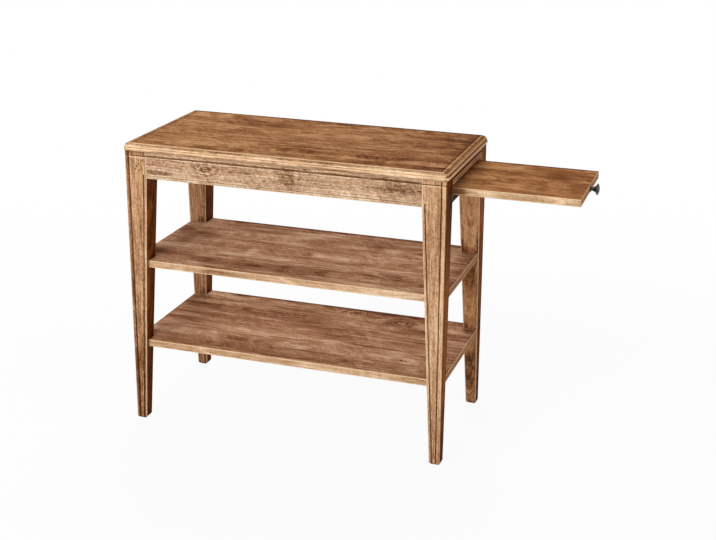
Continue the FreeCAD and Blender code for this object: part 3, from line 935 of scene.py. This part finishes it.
# %% Finish the lower shelf
lower_knots = [((172, 108, 7), 9.0, 4.0), ((60, 131, 7), 7.0, 3.0)]
lower_clouds = [
    ((231, -84, 7), (3, 5, 6), -1.4),
    ((239, -86, 7), (3, 4, 6), -1.2),
    ((180, -37, 7), (80, 5, 20), -0.5),
    ((-10, -20, 7), (110, 110, 20), 0.15),
    ((58, -37, 7), (40, 8, 20), 0.35),
    ((-146, -44, 7), (70, 32, 20), 0.22),
    ((-300, 80, 7), (60, 40, 20), -0.2),
    ((-258, -83, 7), (60, 30, 20), 0.22),
    ((-62, 95, 7), (70, 20, 20), -0.22),
    ((0, -156, 0), (700, 7, 20), 0.1),
    # Painted shade along the back edge.
    ((0, 163, 7), (700, 18, 20), -1.2),
    ((0, 160, 7), (700, 46, 20), -0.22),
]
finish_piece("lower_shelf", wood_material(
    "lower_shelf_wood", "X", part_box("lower_shelf"), 3.0, shelf_stain, lower_knots, lower_clouds,
    streak=13.0, streak_length=2.0, speckle=0.6, back_wear=0.0,
    side_colours=edge_stain))

# %% Finish the leaf
leaf_clouds = [
    ((155, 28, 7), (36, 44, 20), -0.28),
    ((15, -23, 7), (60, 30, 20), 0.18),
    # Painted light lifts the part nearest the table, which the top shades.
    ((-20, 0, 7), (110, 150, 20), 0.5),
    ((0, 112, 7), (500, 16, 20), -1.1),
    ((0, 93, 7), (500, 6, 20), 0.3),
    # A painted shadow on the front edge beside the front leg.
    ((-20, -106, 0), (22, 8, 14), -1.3),
    ((110, -106, 0), (110, 8, 14), 0.15),
]
finish_piece("leaf", wood_material(
    "leaf_wood", "X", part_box("leaf"), 4.0, leaf_stain, (), leaf_clouds, streak=22.0,
    streak_length=1.8, contrast=1.1, speckle=0.6, back_wear=0.0, side_colours=leaf_edge_stain))

# %% [markdown]
# ## The aprons, the rails and the legs
#
# These are single boards stood on edge. A stave wider than all of them leaves no joint to see. The
# front apron is paler and more speckled than the top. The left apron, the lower rail at the right
# end and the legs' faces towards the ends take darker colours, which paint their shade, and the
# feet are darker. Thin clouds as long as a board darken its groove with painted shade and brighten
# its edges with painted highlights, as in the photograph. A deeper groove in the CAD would do this
# too, but it would no longer be true to size.

# %% Finish the aprons
single_board = 400.0
apron_knots = [((-159, 4.5, -10), 6.0, 1.6)]
apron_clouds = [
    ((20, -2, -10), (26, 20, 20), -0.45),
    ((34, 4, -10), (5, 22, 20), 0.35),
    ((-263, -13, -10), (32, 5, 20), -0.6),
    ((-262, 6, -10), (70, 30, 20), 0.04),
    ((245, 0, -10), (80, 50, 20), -0.2),
    ((20, 0, -10), (120, 50, 20), -0.1),
    ((250, 3, -10), (55, 12, 20), -0.28),
    ((105, 12, -10), (60, 8, 20), 0.25),
    # Along the top: a painted shadow under the slab, the groove darkened with painted shade, and a
    # painted highlight on the lip below it. The light line along the bottom is a painted highlight
    # on the bead.
    ((0, 26.4, -10), (900, 1.4, 20), -0.7),
    ((10, 23.5, -10), (120, 3.2, 20), -0.2),
    ((0, 20.7, -10), (900, 0.9, 20), -1.5),
    ((0, 17.0, -10), (900, 1.3, 20), 0.45),
    ((0, 9, -10), (900, 11, 20), -0.18),
    ((0, -21, -10), (900, 2.5, 20), 0.5),
]
finish_piece("front_apron", wood_material(
    "front_apron_wood", "X upright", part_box("front_apron"), 5.0, pale_stain, apron_knots,
    apron_clouds, stave=single_board, contrast=0.68, speckle=1.0, curl=1.9))
finish_piece("back_apron", wood_material(
    "back_apron_wood", "X upright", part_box("back_apron"), 6.0, pale_stain, stave=single_board,
    contrast=0.9, speckle=1.0, curl=1.7))

# %% Finish the rails and the left apron
# The upper rail at the right end lies in shade, so it takes the paler end colours as painted light.
# Its light lines are painted highlights, and its dark lines painted shade under the moulding's
# overhang.
rail_shade_and_highlight_lines = [
    ((0, -0.8, 10), (900, 1.4, 12), 1.8),
    ((0, 8.8, 10), (900, 1.8, 12), 1.4),
    ((0, 3.8, 10), (900, 2.7, 12), -1.1),
    ((0, -4.4, 10), (900, 1.8, 12), -0.6),
    ((0, -8.0, 10), (900, 4.0, 12), 0.8),
]
finish_piece("right_upper_rail", wood_material(
    "right_upper_rail_wood", "Y upright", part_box("right_upper_rail"), 8.0, end_stain, (),
    rail_shade_and_highlight_lines, stave=single_board, speckle=0.8))
# The left apron and the lower rail take the darker side colours as painted shade.
side_boards = {
    "left_apron": (7.0, []),
    # Painted shade under the leaf, near the front leg.
    "right_lower_rail": (9.0, [((-90, 0, 8), (60, 30, 20), -0.7)]),
}
for name, (seed, clouds) in side_boards.items():
    finish_piece(name, wood_material(
        name + "_wood", "Y upright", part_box(name), seed, shaded_side_stain, (), clouds,
        stave=single_board, speckle=0.9))

# %% Marks on the front left leg
nicks = ((278.7, 7.5), (279.5, 16.8), (272.2, 7.2), (266.5, 2.9), (257.7, 7.4), (261.0, 0.3))
front_left_clouds = [
    ((-297, 0, 0), (260, 200, 200), -0.45),
    ((0, -17.2, -24), (500, 2.0, 6), -0.6),
    # Painted shade on the side face near the foot.
    ((-270, 9, 0), (110, 8, 40), -0.8),
    ((295, 0, 0), (8, 200, 200), -0.15),
    *[((height, across_leg, -24), (2, 1.5, 4), -1.2) for height, across_leg in nicks],
]
print("the front left leg has", len(nicks), "small nicks")

# %% Clouds on the legs
# On each leg the cloud 270 mm below the middle, set towards its side face, is painted shade near
# the foot.
leg_clouds = {
    "front_left_leg": front_left_clouds,
    "front_right_leg": [
        ((-60, 0, 0), (230, 200, 200), 0.18),
        ((200, 0, 0), (120, 200, 200), -0.22),
        # Painted highlight on the front face's outer corner bead.
        ((200, 22, -23), (220, 6, 8), 0.6),
        ((-100, 22, -23), (160, 6, 8), 0.15),
        ((-270, 29, 0), (110, 8, 40), -0.8),
        # Painted shade on the right side face, under the top where the leaf passes.
        ((262, 24, 8), (44, 8, 26), -0.5),
    ],
    "back_left_leg": [((-297, 0, 0), (200, 200, 200), -0.30), ((-270, 9, 0), (110, 8, 40), -0.6)],
    "back_right_leg": [
        # Painted light on the upper front face, which the top and the shelf shade from the lamps.
        ((210, 0, -40), (200, 200, 38), 0.6),
        ((74, 0, -24), (20, 200, 30), -0.25),
        ((-270, 29, 0), (110, 8, 40), -0.6),
    ],
}
# A slightly darker band at each leg's top, and a painted highlight on the lip under its groove.
leg_band_and_lip_highlight_clouds = [((295, 0, 0), (8, 200, 200), -0.12), ((286, 0, 0), (1.5, 200, 200), 0.5)]
print("clouds on single legs:", sum(len(clouds) for clouds in leg_clouds.values()))

# %% Finish the legs
# Painted shade darkens the leg's inner corner where a shelf meets it. These are its heights from
# the middle.
above_shelves = (62, -116)
inner_sides = {
    "front_left_leg": (12, 12),
    "front_right_leg": (-12, 12),
    "back_left_leg": (12, -12),
    "back_right_leg": (-12, -12),
}
leg_looks = {"back_right_leg": (red_leg_stain, 1.3)}
# The legs' faces towards the ends take the darker side colours as painted shade.
for seed, (name, clouds) in enumerate(leg_clouds.items()):
    colours, contrast = leg_looks.get(name, (leg_stain, 0.85))
    shelf_corner_shade_clouds = [((height, *inner_sides[name]), (15, 24, 24), -0.45)
                     for height in above_shelves]
    finish_piece(name, wood_material(
        name + "_wood", "Z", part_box(name), 10.0 + seed, colours, (),
        clouds + leg_band_and_lip_highlight_clouds + shelf_corner_shade_clouds, stave=single_board, contrast=contrast,
        speckle=0.85, wear=2.2, side_colours=shaded_side_stain, faces="leg"))

# %% [markdown]
# ## The hidden wood
#
# Runners, blocks, battens and dowels show only from below or not at all. One plain colour would do,
# but the same wood without stain takes only one more table of colours, and it looks right when the
# table is turned over.

# %% Finish the hidden wood
inner = {
    "front_runner": "X",
    "back_runner": "X",
    "runner_tie": "Y",
    "stop_batten": "Y",
    "front_corner_block": "X",
    "back_corner_block": "X",
    "leaf_stop": "Y",
    "upper_shelf_dowels": "X",
    "lower_shelf_dowels": "X",
}
for seed, (name, grain) in enumerate(inner.items()):
    finish_piece(name, wood_material(
        name + "_wood", grain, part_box(name), 20.0 + seed, raw_wood, stave=single_board))

# %% [markdown]
# ## Metal
#
# The knob is black painted metal, and the screws are zinc. One flat colour would look like plastic,
# so soft patches of dust change both the colour and the roughness a little.

# %% Finish the metal
def metal_material(name, colour, dust, metallic, roughness):
    """A metal or a paint with soft patches of dust."""
    material = bpy.data.materials.new(name)
    material.use_nodes = True
    tree = material.node_tree
    place = place_from(tree, (0.0, 0.0, 0.0))
    patches = noise(tree, place, (0.5, 0.5, 0.5), 4.0, 0.6)
    colour = mix(tree, step_between(tree, patches, 0.4, 0.75), colour, dust)
    shader = tree.nodes["Principled BSDF"]
    feed(tree, shader.inputs["Base Color"], colour)
    feed(tree, shader.inputs["Roughness"], plus(tree, times(tree, patches, 0.3), roughness))
    shader.inputs["Metallic"].default_value = metallic
    return material


black_paint = metal_material("black_paint", srgb(12, 11, 11), srgb(30, 28, 27), 0.0, 0.24)
zinc = metal_material("zinc", srgb(170, 170, 172), srgb(120, 120, 122), 1.0, 0.3)
finish_piece("leaf_knob", black_paint)
for name in ("top_screws", "runner_screws", "tie_screws", "leaf_stop_screws", "knob_stud"):
    finish_piece(name, zinc)

# %% [markdown]
# ## The floor
#
# The photograph's ground is plain white, with the faintest shadow. A floor lit by lamps would be
# grey in some places and too bright in others. So the camera sees a floor that glows white, with
# only a small share of its own pale grey near the table, where a shadow may fall. All other rays
# meet the grey alone, so that the floor throws the light back as a real one does.

# %% Floor
floor_reach = 30.0
sides = ((-1, -1), (1, -1), (1, 1), (-1, 1))
floor_corners = [(x * floor_reach, y * floor_reach, 0) for x, y in sides]
floor_mesh = bpy.data.meshes.new("floor")
floor_mesh.from_pydata(floor_corners, [], [(0, 1, 2, 3)])
floor = bpy.data.objects.new("floor", floor_mesh)
bpy.context.scene.collection.objects.link(floor)
print("floor is", floor.dimensions.x, "m wide")

# %% Finish the floor
def seen_by_camera(tree):
    """1 for rays from the camera, by way of a mirror or glass too, and 0 for all others."""
    path = add(tree, "ShaderNodeLightPath")
    return most(tree, path.outputs["Is Camera Ray"], path.outputs["Is Glossy Ray"],
                path.outputs["Is Transmission Ray"])


floor_material = bpy.data.materials.new("floor")
floor_material.use_nodes = True
tree = floor_material.node_tree
shader = tree.nodes["Principled BSDF"]
shader.inputs["Base Color"].default_value = (0.82, 0.82, 0.82, 1)
shader.inputs["Roughness"].default_value = 0.9
glow = add(tree, "ShaderNodeEmission")
glow.inputs["Strength"].default_value = 1.0
near_white, shadow_end, white_start = 0.92, 0.5, 2.2
distance = vector_calc(tree, "LENGTH", add(tree, "ShaderNodeTexCoord").outputs["Object"])
far_white = times(tree, step_between(tree, distance, shadow_end, white_start), 1.0 - near_white)
blend = add(tree, "ShaderNodeMixShader")
white_share = plus(tree, near_white, far_white)
feed(tree, blend.inputs[0], times(tree, seen_by_camera(tree), white_share))
feed(tree, blend.inputs[1], shader.outputs[0])
feed(tree, blend.inputs[2], glow.outputs[0])
feed(tree, tree.nodes["Material Output"].inputs["Surface"], blend.outputs[0])
floor.data.materials.append(floor_material)
print("near the table the camera sees the floor", near_white, "white")

# %% [markdown]
# ## The light
#
# A panorama of a real studio could light the table, but a few lamps are easier to place and to
# understand. Two big soft ones stand at the front left and behind the table. A weak one near the
# floor reaches under the top, and another lights the right end. The world's weak white light fills
# the shadows. To the camera the world is pure white.

# %% World
world = bpy.data.worlds.new("studio")
bpy.context.scene.world = world
world.use_nodes = True
tree = world.node_tree
background = tree.nodes["Background"]
background.inputs["Color"].default_value = (1, 1, 1, 1)
world_light = 0.25
seen_light = times(tree, seen_by_camera(tree), 1.0 - world_light)
feed(tree, background.inputs["Strength"], plus(tree, seen_light, world_light))
print("the world gives", world_light, "of the white that the camera sees")

# %% Lamps
def add_lamp(name, place, size, power, mirrored=True):
    """A soft square lamp that faces the table. It need not show in polished surfaces."""
    lamp_data = bpy.data.lights.new(name, "AREA")
    lamp_data.shape = "SQUARE"
    lamp_data.size = size
    lamp_data.energy = power
    lamp = bpy.data.objects.new(name, lamp_data)
    lamp.location = place
    to_table = frame_middle - Vector(place)
    lamp.rotation_euler = to_table.to_track_quat("-Z", "Y").to_euler()
    lamp.visible_glossy = mirrored
    bpy.context.scene.collection.objects.link(lamp)
    print(name, "stands", round(to_table.length, 2), "m away, with", power, "W")


add_lamp("key_lamp", (-0.9, -2.7, 2.1), 2.4, 80.0)
add_lamp("back_lamp", (-0.8, 2.8, 2.0), 2.4, 80.0, mirrored=False)
add_lamp("low_lamp", (-0.9, -3.0, 0.5), 1.6, 10.0, mirrored=False)
add_lamp("end_lamp", (2.9, -0.9, 0.8), 1.4, 16.0, mirrored=False)
